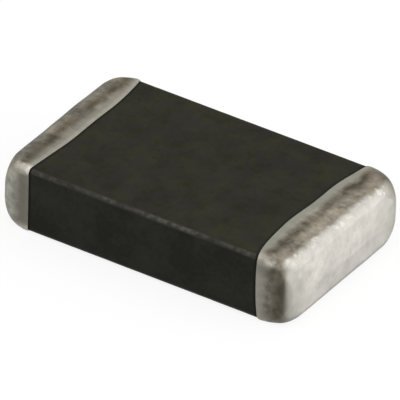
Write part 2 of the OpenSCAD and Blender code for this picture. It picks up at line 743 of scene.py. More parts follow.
class CapPlace:
    """Where a point of a cap lies and the patterns there, for every layer of the silver to read.

    out is the distance from the end of the chip, from_end is that distance as the wandering edge
    of the tarnish sees it, and broken is more ragged still. wall is 1 on the front and back, and
    flat on the top and bottom. turned is 1 where a face looks out along the chip. on_end is 1
    where the end face's tone reaches, and off_end is the rest. far is 1 towards the back.
    """

    def __init__(self, silver: "FiredSilver") -> None:
        """Reads the place, the numbers that the mesh keeps and the patterns.

        Args:
            silver: The finish that is being made.
        """
        self.shader = shader = Shader.material(silver.name)
        self.form = silver.form
        self.place = shader.millimetres()
        along, self.across, self.up = shader.axes(self.place)
        self.out = self.form.length / 2 - abs(along)
        self.far = self.across.rising(*silver.far_zone)
        self.from_rim, self.turned = shader.share("from_rim"), shader.share("turned")
        self.wall = shader.share("wall")
        self.flat = 1.0 - self.wall
        self.broad, self.mottle, self.fine, drift = (
            shader.cloud(self.place, pattern)
            for pattern in (silver.broad, silver.mottle, silver.fine, silver.drift)
        )
        wander = 1.0 - self.wall * silver.straight_on_walls
        waved = drift.swing() * silver.drift_wander + self.mottle.swing() * silver.mottle_wander
        self.from_end = self.out + waved * wander + self.far * silver.far_shift
        self.broken = self.from_end + self.fine.swing() * wander * silver.fine_wander
        flats, walls = silver.on_flats.on_end(self.broken), silver.on_walls.on_end(self.broken)
        reached = flats.blended(walls, self.wall)
        self.off_end = (1.0 - reached) * self.turned.rising(*silver.end_turn)
        self.on_end = 1.0 - self.off_end


@dataclass(frozen=True)
class FaceTones:
    """How one kind of face of a cap is toned, by the distance from the end of the chip.

    The end face's tone gives way to a film of tarnish at the start. The film thins out from one
    distance to its end, where the plain band by the rim begins, and a darker streak lies in it.
    """

    band: Colour
    film: Colour
    streak: Colour
    start: float
    soft: float
    thinning: float
    end: float
    centre: float
    half_width: float
    strength: float
    # How strongly the lighter rim line, partly a painted highlight, shows on this face.
    rim: float
    least_streak: float = 0.42

    def on_end(self, broken: Number) -> Number:
        """Gives how far the end face's tone reaches round onto this face."""
        return broken.rising(self.start + self.soft, self.start - self.soft)

    def toned(self, at: CapPlace, blotch: Number) -> Socket:
        """Gives this face's tone between the end face and the rim.

        Args:
            at: The place on the cap.
            blotch: How strongly the streak shows, from 0 to 1.

        Returns:
            The colour.
        """
        filmed = at.shader.mixed(at.from_end.rising(self.end, self.thinning), self.band, self.film)
        streak = at.from_end.peak(self.centre, self.half_width) * blotch.lifted(self.least_streak)
        return at.shader.mixed((streak * self.strength).within(), filmed, self.streak)


@dataclass(frozen=True)
class EndTones:
    """The end face: lightest above the fold in its middle, and dull round its edges. Its tones are
    painted light and shade over the silver's own lighter tone: a painted highlight in the middle,
    and painted shade below the fold, round the edges and along the foot.
    """

    # The middle's tone is lightened with painted highlight; the low, side and foot tones are
    # painted shade.
    heart: Colour = (0.815, 0.780, 0.715)
    low: Colour = (0.645, 0.628, 0.578)
    aside: Colour = (0.560, 0.548, 0.480)
    foot: Colour = (0.405, 0.400, 0.376)
    clouds: Pattern = Pattern(1.1, 3.0, 0.55)
    fall: Span = (1.30, 0.65)
    fall_wander: float = 0.35
    fall_share: float = 0.55
    fold_rise: Span = (0.765, 0.725)
    fold_reach: Span = (-1.6, -0.8)
    fold_tilt: float = 0.03
    fold_wander: float = 0.10
    fold_share: float = 0.45
    aside_middle: float = -0.02
    aside_reach: Span = (1.0, 2.35)
    aside_wander: float = 1.2
    aside_fall: Span = (1.45, 1.0)
    aside_share: Span = (0.45, 0.95)
    foot_fall: Span = (0.28, 0.20)
    foot_share: float = 0.9

    def toned(self, at: CapPlace) -> Socket:
        """Gives the end face's tone, with its painted light and shade.

        Args:
            at: The place on the cap.

        Returns:
            The colour.
        """
        mixed = at.shader.mixed
        cloudy = at.shader.cloud(at.place, self.clouds).swing()
        # Painted shade on the lower part of the face and below the fold.
        fall = (at.up + cloudy * self.fall_wander).rising(*self.fall)
        height = at.up + at.across * self.fold_tilt + cloudy * self.fold_wander
        fold = height.rising(*self.fold_rise) * at.across.rising(*self.fold_reach)
        low = (fall * self.fall_share + fold * self.fold_share).within()
        # Painted shade towards the sides of the face.
        aside = abs(at.across - self.aside_middle + cloudy * self.aside_wander)
        aside = aside.rising(*self.aside_reach)
        aside = aside * at.up.rising(*self.aside_fall).lifted(*self.aside_share)
        dulled = mixed(aside, mixed(low, self.heart, self.low), self.aside)
        # Painted shade along the foot of the face.
        return mixed(at.up.rising(*self.foot_fall) * self.foot_share, dulled, self.foot)


@dataclass(frozen=True)
class Blotches:
    """How strongly the darker streak shows across the chip: in clusters, and faintly at a gap."""

    gap_at: float
    gap_reach: float
    near_corner: float = 0.0
    clusters: Pattern = Pattern(3.0, 3.0, 0.6)
    drawn_out: Point = (1.0, 0.6, 0.6)
    cluster_rise: Span = (0.40, 0.60)
    cluster_share: float = 0.6
    gap_core: float = 0.25
    gap_share: float = 0.46
    corner_zone: Span = (-1.6, -2.1)

    def share(self, at: CapPlace) -> Number:
        """Gives the streak's strength.

        Args:
            at: The place on the cap.

        Returns:
            The strength, from 0 to 1.
        """
        values = {"Vector": at.place, "Scale": self.drawn_out}
        drawn = at.shader.node("ShaderNodeMapping", None, values).outputs[0]
        cluster = at.shader.cloud(drawn, self.clusters).rising(*self.cluster_rise)
        core = self.gap_reach * self.gap_core
        off_gap = abs(at.across - self.gap_at).rising(core, self.gap_reach)
        corner = at.across.rising(*self.corner_zone) * self.near_corner
        return (cluster * self.cluster_share + off_gap * self.gap_share + corner).within()


@dataclass(frozen=True)
class Burnish:
    """The long edges, rubbed bright by handling, with a painted highlight that makes the near ones
    much brighter than the far ones.
    """

    strength: float
    evenly: float
    width: float
    # Strength of a painted highlight on the most rubbed part of the edges.
    glint: float = 0.0
    full_width: float = 0.06
    depth: Span = (0.24, 0.05)
    near_side: Span = (0.5, -0.5)
    least_far: float = 0.2
    from_film: Span = (0.32, 0.58)
    before_rim: Span = (1.06, 0.86)
    least_at_rim: float = 0.5
    patch_rise: Span = (0.40, 0.60)
    least_patch: float = 0.55
    glint_rise: Span = (0.40, 0.80)

    def wear(self, at: CapPlace) -> Number:
        """Gives the share of wear and painted highlight.

        Args:
            at: The place on the cap.

        Returns:
            The share, from 0 away from the long edges to 1.
        """
        half_width, half_height = at.form.width / 2, at.form.thickness / 2
        side = abs(at.across).rising(half_width - self.width, half_width - self.full_width)
        level = abs(at.up - half_height)
        level = level.rising(half_height - self.depth[0], half_height - self.depth[1])
        # Painted highlight: full on the near long edges, a fifth of it on the far ones.
        near = at.across.rising(*self.near_side).lifted(self.least_far)
        along = at.from_end.rising(*self.from_film).lifted(self.evenly)
        along = along * at.out.rising(*self.before_rim).lifted(self.least_at_rim)
        patchy = at.mottle.rising(*self.patch_rise).lifted(self.least_patch)
        return side * level * near * along * patchy * at.off_end


@dataclass(frozen=True)
class Mottling:
    """How the silver's lightness varies: roughly over the sides, and broadly over the end face,
    with painted light on the upper walls near the end and painted shade along the end face's ridge.
    """

    wall_calm: float
    upper_light: float = 0.0
    past_rim: Span = (0.14, 0.38)
    least_rough: float = 0.04
    fine_share: float = 0.24
    mottle_share: float = 0.30
    broad_share: float = 0.04
    broad_on_end: float = 0.38
    rough_share: float = 1.2
    rough_broad: float = 1.5
    upper_peak: Span = (1.43, 0.30)
    upper_reach: Span = (0.50, 0.36)
    ridge_turn: Span = (0.96, 0.84)
    ridge_dim: float = 0.085

    def rough(self, at: CapPlace) -> Number:
        """Gives where the silver is rough: off the end face and away from the rim."""
        rough = at.off_end * at.from_rim.rising(*self.past_rim).lifted(self.least_rough)
        return rough * (1.0 - at.wall * self.wall_calm)

    def level(self, at: CapPlace, rough: Number) -> Number:
        """Gives the lightness, about 1, with its painted light and shade.

        Args:
            at: The place on the cap.
            rough: Where the silver is rough.

        Returns:
            What the colour is multiplied by.
        """
        uneven = 1.0 + at.fine.swing() * (self.fine_share + rough * self.rough_share)
        uneven = uneven + at.mottle.swing() * (self.mottle_share + rough * self.rough_share)
        broad = self.broad_share + at.on_end * self.broad_on_end + rough * self.rough_broad
        uneven = uneven + at.broad.swing() * broad
        # Painted light on the upper part of the walls, towards the end.
        upper = at.off_end * at.wall * at.up.peak(*self.upper_peak)
        # Painted shade: the ridge of the end face is darkened.
        ridge = at.on_end * at.flat * at.turned.rising(*self.ridge_turn) * self.ridge_dim
        lit = 1.0 + upper * at.from_end.rising(*self.upper_reach) * self.upper_light - ridge
        return uneven * lit


@dataclass(frozen=True)
class Grime:
    """Dark tarnish in specks and in stains, and painted shade along the shoulder, the back edge and
    the far outline of the end face; also a darker band on the walls under the long edges.
    """

    back_edge: float
    shoulder: float = 0.0
    under_edge: float = 0.0
    corner_stain: float = 0.0
    far_stain: float = 0.0
    specks: Pattern = Pattern(6.5)
    speck_rise: Span = (0.60, 0.76)
    speck_share: float = 0.35
    pit_rise: Span = (0.35, 0.29)
    pit_share: float = 0.11
    back_peak: Span = (0.50, 0.42)
    stain_peak: Span = (0.50, 0.24)
    stain_near: Span = (-1.6, -1.9)
    stain_off_edge: Span = (-2.42, -2.22)
    far_reach: Span = (0.62, 0.50)
    shoulder_peak: Span = (0.68, 0.36)
    shoulder_off_walls: float = 0.75
    under_peak: Span = (1.46, 0.24)
    under_reach: Span = (0.50, 0.72)
    outline_line: Span = (0.09, 0.005)
    outline_zone: Span = (1.6, 2.1)
    outline_upper: Span = (1.0, 1.5)
    outline_share: Span = (0.16, 0.36)

    def _outline(self, at: CapPlace) -> Number:
        """Paints shade as a dull line round the far end of the end face, where it turns away.

        Args:
            at: The place on the cap.

        Returns:
            The share of painted shade.
        """
        edge = at.form.coated(at.form.end_edge, at.form.band)
        level = abs(at.up - at.form.thickness / 2)
        beside = at.shader.maths("MAXIMUM", at.across - (edge.half_width - edge.radius), 0.0)
        above = at.shader.maths("MAXIMUM", level - (edge.half_height - edge.radius), 0.0)
        inner, outer = ((edge.radius - inset) ** 2 for inset in self.outline_line)
        line = (beside * beside + above * above).rising(inner, outer)
        line = line * at.across.rising(*self.outline_zone)
        return line * at.up.rising(*self.outline_upper).lifted(*self.outline_share)

    def share(self, at: CapPlace, rough: Number) -> Number:
        """Gives how much grime and painted shade cover the silver.

        Args:
            at: The place on the cap.
            rough: Where the silver is rough.

        Returns:
            The share, from 0 to 1.
        """
        specks = at.shader.cloud(at.place, self.specks)
        spots = specks.rising(*self.speck_rise) * rough * self.speck_share
        # Pits on the end face, and painted shade along its far outline.
        pits = (specks.rising(*self.pit_rise) * self.pit_share + self._outline(at)) * at.on_end
        # Painted shade along the rounded back edges.
        back = at.shader.share("back").peak(*self.back_peak) * self.back_edge
        near = at.across.rising(*self.stain_near) * at.across.rising(*self.stain_off_edge)
        stains = at.from_end.peak(*self.stain_peak) * near * self.corner_stain
        stains = stains + at.far * at.out.rising(*self.far_reach) * self.far_stain
        # Painted shade where the flats turn out over the shoulder.
        shoulder = at.turned.peak(*self.shoulder_peak) * self.shoulder
        shoulder = shoulder * (1.0 - at.wall * self.shoulder_off_walls)
        # A darker band on the walls just under the long edges.
        under = at.up.peak(*self.under_peak) * at.from_end.rising(*self.under_reach)
        sides = at.off_end * (stains * at.flat + under * at.wall * self.under_edge)
        return (spots + pits + back + sides + shoulder).within()


@dataclass(frozen=True)
class BrightMarks:
    """The brightest marks: flecks along the end face's ridge, and painted light: a highlight at the
    near corner and along the walls by the end face, and floor light along the foot of the walls.
    """

    # foot and near_corner are strengths of painted light: floor light along the foot of the walls,
    # and a highlight at the near corner.
    foot: float
    near_corner: float = 0.0
    flecks: Pattern = Pattern(5.6, 2.0, 0.6)
    fleck_rise: Span = (0.53, 0.63)
    cluster_rise: Span = (0.47, 0.58)
    least_cluster: float = 0.15
    ridge_start: Span = (-0.22, -0.11)
    ridge_turn: Span = (0.97, 0.85)
    corner_across: Span = (-2.02, -2.18)
    corner_up: Span = (1.58, 1.72)
    corner_reach: Span = (0.40, 0.25)
    corner_rise: Span = (0.42, 0.58)
    corner_share: Span = (0.22, 0.66)
    foot_fall: Span = (0.34, 0.10)
    crease_width: float = 0.12
    crease_up: Span = (0.6, 1.5)
    crease: float = 0.4

    def share(self, at: CapPlace, film_start: float, wall_start: float) -> Number:
        """Gives how bright the flecks and the painted light are.

        Args:
            at: The place on the cap.
            film_start: Where the film starts on the top and bottom.
            wall_start: Where it starts on the front and back.

        Returns:
            The share of the bright colour.
        """
        low, high = (film_start + shift for shift in self.ridge_start)
        ridge = at.from_end.rising(low, high) * at.turned.rising(*self.ridge_turn) * at.flat
        flecks = at.shader.cloud(at.place, self.flecks).rising(*self.fleck_rise)
        flecks = flecks * at.broad.rising(*self.cluster_rise).lifted(self.least_cluster)
        # Painted highlight at the near top corner of the end face.
        near = at.across.rising(*self.corner_across) * at.up.rising(*self.corner_up)
        corner = near * at.broken.rising(*self.corner_reach) * self.near_corner
        corner = corner * at.mottle.rising(*self.corner_rise).lifted(*self.corner_share)
        # Painted light from the floor along the foot of the walls.
        foot = at.wall * at.up.rising(*self.foot_fall) * self.foot
        # Painted highlight along the walls' edge by the end face.
        crease = at.out.rising(wall_start - self.crease_width, wall_start) * at.wall
        crease = crease * at.up.rising(*self.crease_up) * self.crease
        return (ridge * flecks + crease) * at.on_end + corner + foot


@dataclass(frozen=True)
class FiredSilver:
    """Dipped and fired silver: matt grey bands, a lighter end face with painted light and shade,
    and a tarnished shoulder with painted shade where it turns away.
    """

    name: str
    form: ChipForm
    on_flats: FaceTones
    on_walls: FaceTones
    blotches: Blotches
    burnish: Burnish
    mottling: Mottling
    grime: Grime
    marks: BrightMarks
    far_shift: float = 0.0
    end_face: EndTones = EndTones()
    # The rim line's tone: the silver's thin edge, with painted highlight.
    rim: Colour = (0.48, 0.465, 0.395)
    # Tone of the rubbed long edges, with painted highlight.
    burnished: Colour = (0.78, 0.72, 0.61)
    # Tone of grime and of painted shade.
    grimy: Colour = (0.120, 0.100, 0.068)
    # Tone of the bright flecks and of the painted highlights.
    bright: Colour = (0.93, 0.90, 0.81)
    # Patterns, and how far each one makes the edge of the tarnish wander
    broad: Pattern = Pattern(1.9, 1.0)
    drift: Pattern = Pattern(2.05)
    mottle: Pattern = Pattern(3.6, 2.0, 0.55)
    fine: Pattern = Pattern(7.0, 1.0)
    drift_wander: float = 0.15
    mottle_wander: float = 0.12
    fine_wander: float = 0.26
    straight_on_walls: float = 0.65
    far_zone: Span = (1.1, 1.8)
    end_turn: Span = (0.95, 0.80)
    rim_line: Span = (0.13, 0.04)
    metallic: float = 0.15
    specular: float = 0.3
    roughness: float = 0.56
    fine_roughness: float = 0.3
    depth: float = 0.006
    fine_depth: float = 0.4

    def _toned(self, at: CapPlace) -> Socket:
        """Tones the cap from its end face over the film of tarnish to its rim.

        Args:
            at: The place on the cap.

        Returns:
            The colour.
        """
        mixed = at.shader.mixed
        blotch = self.blotches.share(at)
        flats, walls = self.on_flats.toned(at, blotch), self.on_walls.toned(at, blotch)
        # The end face's tone, with its painted light and shade, reaches round onto the shoulder.
        toned = mixed(at.on_end, mixed(at.wall, flats, walls), self.end_face.toned(at))
        # A lighter line along the rim, partly painted highlight, strongest on the left cap's top.
        line = at.from_rim.rising(*self.rim_line)
        return mixed(line * at.wall.lifted(self.on_flats.rim, self.on_walls.rim), toned, self.rim)

    def material(self) -> bpy.types.Material:
        """Makes the finish.

        Returns:
            The finished material.
        """
        at = CapPlace(self)
        mixed, rough = at.shader.mixed, self.mottling.rough(at)
        wear = self.burnish.wear(at)
        rubbed = (wear * self.burnish.strength).within()
        # Wear on the long edges, with painted highlight.
        worn = mixed(rubbed, self._toned(at), self.burnished)
        mottled = at.shader.scaled(worn, self.mottling.level(at, rough))
        # Grime, with painted shade at the back edges, the shoulder and the far outline.
        tarnished = mixed(self.grime.share(at, rough), mottled, self.grimy)
        # Painted highlight: a narrow glint on the most rubbed part of the long edges.
        glint = wear.rising(*self.burnish.glint_rise) * self.burnish.glint
        # The flecks, with painted highlights and painted floor light.
        marks = self.marks.share(at, self.on_flats.start, self.on_walls.start) + glint
        height = at.mottle.blended(at.fine, self.fine_depth)
        return at.shader.finish(
            {
                "Base Color": mixed(marks.within(), tarnished, self.bright),
                "Metallic": self.metallic,
                "Specular IOR Level": self.specular,
                "Roughness": (self.roughness + at.fine.swing() * self.fine_roughness).within(),
                "Normal": at.shader.relief(height, self.depth),
            }
        )


@dataclass(frozen=True)
class PrintedFilm:
    """The fired silver-palladium film of the plates inside the block."""

    light: Colour = (0.62, 0.62, 0.64)
    dark: Colour = (0.42, 0.42, 0.44)
    weave: Pattern = Pattern(18.0, 3.0, 0.65)
    weave_rise: Span = (0.4, 0.62)
    metallic: float = 0.9
    roughness: float = 0.4
    weave_roughness: float = 0.3
    depth: float = 0.001

    def material(self) -> bpy.types.Material:
        """Makes the finish.

        Returns:
            The finished material.
        """
        shader = Shader.material("printed_film")
        weave = shader.cloud(shader.millimetres(), self.weave)
        return shader.finish(
            {
                "Base Color": shader.mixed(weave.rising(*self.weave_rise), self.dark, self.light),
                "Metallic": self.metallic,
                "Roughness": self.roughness + weave.swing() * self.weave_roughness,
                "Normal": shader.relief(weave, self.depth),
            }
        )


@dataclass(frozen=True)
class PaleTable:
    """The pale floor: plain to the light that falls on it, and white where it is seen."""

    tone: Colour = (0.62, 0.62, 0.62)
    cloudy: Colour = (0.60, 0.60, 0.60)
    kept: Colour = (0.20, 0.20, 0.20)
    glow: float = 0.86
    clouds: Pattern = Pattern(0.02)
    cloud_rise: Span = (0.3, 0.7)
    cloud_share: float = 0.5

    def material(self) -> bpy.types.Material:
        """Makes the finish.

        Returns:
            The finished material.
        """
        shader = Shader.material("pale_table")
        clouds = shader.cloud(shader.millimetres(), self.clouds).rising(*self.cloud_rise)
        soft = shader.mixed(clouds * self.cloud_share, self.tone, self.cloudy)
        plain = shader.node("ShaderNodeBsdfDiffuse", None, {"Color": soft})
        shaded = shader.node("ShaderNodeBsdfDiffuse", None, {"Color": self.kept})
        glow = shader.node("ShaderNodeEmission", None, {"Color": WHITE, "Strength": self.glow})
        parts = {0: shaded.outputs[0], 1: glow.outputs[0]}
        shown = shader.node("ShaderNodeAddShader", None, parts)
        both = shader.chosen(shader.seen(), plain, shown)
        shader.node("ShaderNodeOutputMaterial", None, {"Surface": both})
        return shader.owner


@dataclass
class CeramicBlock:
    """The fired block, with its rounded long edges and tumbled ends."""

    form: ChipForm
    left_rim: RimLine
    right_rim: RimLine
    finish: SinteredCeramic = field(default_factory=SinteredCeramic)
    plan: RingPlan = RingPlan(corner=10, across=36, up=12)
    stations: int = 230
    end_steps: int = 12
    dent: float = 0.005
    dents: Lumps = Lumps(3.0, 3.1)

    def _ring(self, along: float) -> list[Point]:
        """Gives the points of one ring round the block."""
        points = self.plan.points(self.form.bare(abs(along)))
        return [(along, across, up) for across, up in points]

    def _places(self) -> list[float]:
        """Spaces the rings, which draw together towards the end faces.

        Returns:
            Each ring's place along the block.
        """
        straight = self.form.ceramic_end - self.form.side_length
        turns = [QUARTER_TURN * (1 - step / self.end_steps) for step in range(self.end_steps)]
        ends = [straight + self.form.side_length * math.sin(turn) for turn in turns]
        steps = range(self.stations + 1)
        middle = [-straight + 2 * straight * step / self.stations for step in steps]
        return [-along for along in ends] + middle + list(reversed(ends))

    def _edge_turn(self, vert: bmesh.types.BMVert) -> float:
        """Gives 1 in the middle of a rounded long edge and 0 on the flats."""
        side, rise = abs(vert.normal.y), abs(vert.normal.z)
        return min(side, rise) / max(side, rise, TINY)

    def _off_edge(self, place: Vector) -> float:
        """Gives how far in from a long edge a place lies, as the sum of the two ways."""
        inwards = self.form.ceramic_half_width - abs(place.y)
        return inwards + self.form.ceramic_half_height - abs(place.z)

    def _from_rim(self, place: Vector) -> float:
        """Measures to the nearest rim of silver.

        Args:
            place: A place on the block.

        Returns:
            Its distance from that rim along the chip, or 0 under the silver.
        """
        half = self.form.length / 2
        right = half - self.right_rim.reach(self.form, place.y, place.z) - place.x
        left = place.x + half - self.left_rim.reach(self.form, place.y, place.z)
        return max(0.0, min(left, right))

    def build(self) -> bpy.types.Object:
        """Makes the block's mesh and dresses it.

        Returns:
            The finished piece.
        """
        places = self._places()
        skin = GrownSkin(self._ring(places[0]), ("off_edge", "from_rim", "side"))
        for along in places[1:]:
            skin.grow(self._ring(along))
        skin.close((self.form.ceramic_end, 0.0, 0.0))
        skin.restart()
        skin.close((-self.form.ceramic_end, 0.0, 0.0))
        skin.turn_outwards()
        verts = skin.mesh.verts
        skin.keep("off_edge", {vert: self._off_edge(vert.co) for vert in verts})
        skin.keep("side", {vert: abs(vert.normal.y) for vert in verts})
        for vert in verts:
            dented = self.dent * self._edge_turn(vert) * max(0.0, self.dents.at(vert.co))
            vert.co -= vert.normal * dented
        skin.keep("from_rim", {vert: self._from_rim(vert.co) for vert in verts})
        piece = skin.finish("ceramic_block", self.form)
        piece.data.materials.append(self.finish.material())
        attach(piece, BODY)
        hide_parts("ceramic_body")
        return piece


@dataclass
class SilverCap:
    """A cap of dipped and fired silver, from its thin rim round the shoulder to its end face."""

    form: ChipForm
    end: End
    rim: RimLine
    finish: FiredSilver
    swell: float = 0.0
    plan: RingPlan = RingPlan(corner=14, across=60, up=18)
    rim_steps: int = 7
    shoulder_steps: int = 44
    face_steps: int = 22
    lining_steps: int = 12
    seat: float = 0.0015
    clearance: float = 0.001
    bead: float = 0.005
    bead_at: float = 0.10
    bead_width: float = 0.07
    bead_rise: Span = (0.05, 0.09)
    unevenness: float = 0.006
    settled: Span = (0.0, 0.08)
    coarse: Lumps = Lumps(1.3, 5.0)
    fine: Lumps = Lumps(3.4, 2.0)
    fine_share: float = 0.5
    swell_at: float = 0.65
    swell_width: float = 0.75
    swell_turn: Span = (0.3, 0.7)
    swell_up: Span = (0.0, 0.5)
    fold_height: float = -0.22
    fold_reach: float = 0.6
    fold_depth: float = 0.35

    @property
    def side(self) -> str:
        """The name of the cap's end."""
        return self.end.name.lower()

    @property
    def node(self) -> str:
        """The node that this cap stands for."""
        return f"{self.side}_termination"

    def _rim_places(self) -> list[float]:
        """Follows the rim round the chip.

        Returns:
            Its distance from the chip's middle, at each point of a ring.
        """
        flat = self.plan.points(self.form.bare(0.0))
        reaches = [self.rim.reach(self.form, across, up) for across, up in flat]
        return [self.form.length / 2 - reach for reach in reaches]

    def _ring(self, places: Sequence[float], sections: Iterable[Section]) -> list[Point]:
        """Gives a ring in which every point has a place and a section of its own.

        Args:
            places: Each point's distance from the chip's middle.
            sections: The section that each point lies on.

        Returns:
            The ring's points.
        """
        flat = [self.plan.points(section)[index] for index, section in enumerate(sections)]
        pairs = zip(places, flat, strict=True)
        return [(self.end.value * along, across, up) for along, (across, up) in pairs]

    def _coated(self, places: Sequence[float], grown: Sequence[float]) -> list[Point]:
        """Gives a ring on the block's surface, grown by a thickness at each of its points."""
        return self._ring(places, map(self.form.coated, places, grown))

    def _crown(self, across: float, up: float, share: float) -> Point:
        """Places a point of the end face, with the soft fold where the paste sagged.

        Args:
            across: The place across the chip.
            up: The place above or below the chip's middle.
            share: How far out on the face it lies, from 0 in the middle to 1 at the edge.

        Returns:
            The point.
        """
        fold = smooth_step(abs(up - self.fold_height), 0.0, self.fold_reach)
        dome = math.sin(QUARTER_TURN * (1 - share)) * (1 - self.fold_depth * fold)
        return self.end.value * (self.form.end_edge + self.form.crown * dome), across, up

    def _grow_rim(self, skin: GrownSkin, rim: list[float]) -> VertShares:
        """Grows the thin rim up to the silver's thickness.

        Args:
            skin: The cap's skin.
            rim: The rim's place at each point of a ring.

        Returns:
            The distance of each new vertex from the rim.
        """
        past: VertShares = {}
        for step in range(1, self.rim_steps + 1):
            angle = QUARTER_TURN * step / self.rim_steps
            inwards = self.form.rim_length * (1 - math.cos(angle))
            thick = self.seat + (self.form.band - self.seat) * math.sin(angle)
            places = [place + inwards for place in rim]
            past |= dict.fromkeys(skin.grow(self._coated(places, [thick] * len(rim))), inwards)
        return past

    def _grow_shoulder(self, skin: GrownSkin, rim: list[float]) -> VertShares:
        """Grows the sides, with a bead beside the rim, round to the edge of the end face.

        Args:
            skin: The cap's skin.
            rim: The rim's place at each point of a ring.

        Returns:
            The distance of each new vertex from the rim.
        """
        past: VertShares = {}
        starts = [place + self.form.rim_length for place in rim]
        for step in range(1, self.shoulder_steps + 1):
            share = math.sin(QUARTER_TURN * step / self.shoulder_steps)
            places = [start + (self.form.end_edge - start) * share for start in starts]
            gone = [place - first for place, first in zip(places, rim, strict=True)]
            grown = [self.form.band + self._bead(way) for way in gone]
            past |= dict(zip(skin.grow(self._coated(places, grown)), gone, strict=True))
        return past

    def _bead(self, past: float) -> float:
        """Gives the height of the bead at a distance past the rim."""
        beaded = self.bead * hill(past, self.bead_at, self.bead_width)
        return beaded * smooth_step(past, *self.bead_rise)

    def _grow_face(self, skin: GrownSkin) -> VertShares:
        """Grows the end face and closes it in its middle.

        Args:
            skin: The cap's skin.

        Returns:
            The distance of each new vertex from the rim, which is 1 all over the end face.
        """
        edge = self.form.coated(self.form.end_edge, self.form.band)
        grown: list[bmesh.types.BMVert] = []
        for step in range(1, self.face_steps):
            share = 1 - step / self.face_steps
            flat = self.plan.points(edge.scaled(share))
            grown += skin.grow([self._crown(across, up, share) for across, up in flat])
        grown.append(skin.close(self._crown(0.0, 0.0, 0.0)))
        return dict.fromkeys(grown, 1.0)

    def _line(self, skin: GrownSkin, rim: list[float]) -> None:
        """Grows the inside of the cap from its rim, just clear of the ceramic, and closes it.

        Args:
            skin: The cap's skin.
            rim: The rim's place at each point of a ring.
        """
        skin.restart()
        for step in range(1, self.lining_steps + 1):
            share = math.sin(QUARTER_TURN * step / self.lining_steps)
            bare = [place + (self.form.ceramic_end - place) * share for place in rim]
            sections = [self.form.bare(along, self.clearance) for along in bare]
            skin.grow(self._ring([along + self.clearance * share for along in bare], sections))
        skin.close((self.end.value * (self.form.ceramic_end + self.clearance), 0.0, 0.0))

    def _settle(self, past: VertShares, turned: VertShares) -> None:
        """Makes the fired surface uneven, and swells the top of the shoulder.

        Args:
            past: The distance of each outer vertex from the rim.
            turned: How far each of them faces out along the chip.
        """
        sign = self.end.value
        coarse, fine = self.coarse.reseeded(sign), self.fine.reseeded(-sign)
        for vert, gone in past.items():
            height = coarse.at(vert.co) + self.fine_share * fine.at(vert.co)
            swollen = self.swell * hill(vert.co.y, self.swell_at, self.swell_width)
            swollen *= smooth_step(turned[vert], *self.swell_turn)
            swollen *= smooth_step(vert.co.z, *self.swell_up)
            uneven = self.unevenness * height * smooth_step(gone, *self.settled)
            vert.co += vert.normal * (uneven + swollen)
            vert.co.z = max(vert.co.z, -self.form.thickness / 2)

    def build(self) -> bpy.types.Object:
        """Makes the cap's mesh and dresses it.

        Returns:
            The finished piece.
        """
        rim = self._rim_places()
        seat = self._coated(rim, [self.seat] * len(rim))
        skin = GrownSkin(seat, ("from_rim", "wall", "turned", "back"))
        past = self._grow_rim(skin, rim) | self._grow_shoulder(skin, rim) | self._grow_face(skin)
        self._line(skin, rim)
        skin.turn_outwards()
        facing = {vert: vert.normal.copy() for vert in past}
        turned = {vert: max(0.0, self.end.value * way.x) for vert, way in facing.items()}
        sides = {vert: (abs(way.y), abs(way.z)) for vert, way in facing.items()}
        skin.keep("from_rim", past)
        skin.keep("wall", {vert: y / max(y + z, TINY) for vert, (y, z) in sides.items()})
        skin.keep("turned", turned)
        skin.keep("back", {vert: max(0.0, way.y) for vert, way in facing.items()})
        self._settle(past, turned)
        piece = skin.finish(f"{self.side}_cap", self.form)
        piece.data.materials.append(self.finish.material())
        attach(piece, BODY)
        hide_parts(self.node)
        return piece


@dataclass
class InnerPlates:
    """The printed plates inside the block, which are the part's own solids with a film's finish."""

    finish: PrintedFilm = field(default_factory=PrintedFilm)
    stem: str = "inner_electrode"

    def dress(self, nodes: dict[str, bpy.types.Object]) -> list[bpy.types.Object]:
        """Gives every plate its finish.

        Args:
            nodes: The part's solids by name.

        Returns:
            The dressed plates.
        """
        film = self.finish.material()
        plates = [node for name, node in sorted(nodes.items()) if name.startswith(self.stem)]
        for plate in plates:
            for slot in plate.material_slots:
                slot.material = film
        return plates


@dataclass
class SoftLamp:
    """A square softbox that looks at the chip; its place and size are in metres."""

    name: str
    direction: Point
    distance: float
    size: float
    level: float

    def place(self) -> bpy.types.Object:
        """Hangs the lamp, with the power that gives its level of light on the chip.

        Returns:
            The lamp.
        """
        data = bpy.data.lights.new(self.name, "AREA")
        data.shape, data.size = "SQUARE", self.size
        data.energy = self.level * math.pi**2 * self.distance**2
        lamp = linked(self.name, data)
        way = Vector(self.direction).normalized()
        lamp.location = way * self.distance
        lamp.rotation_mode = "QUATERNION"
        lamp.rotation_quaternion = way.to_track_quat("Z", "Y")
        lamp.visible_camera = False
        return lamp


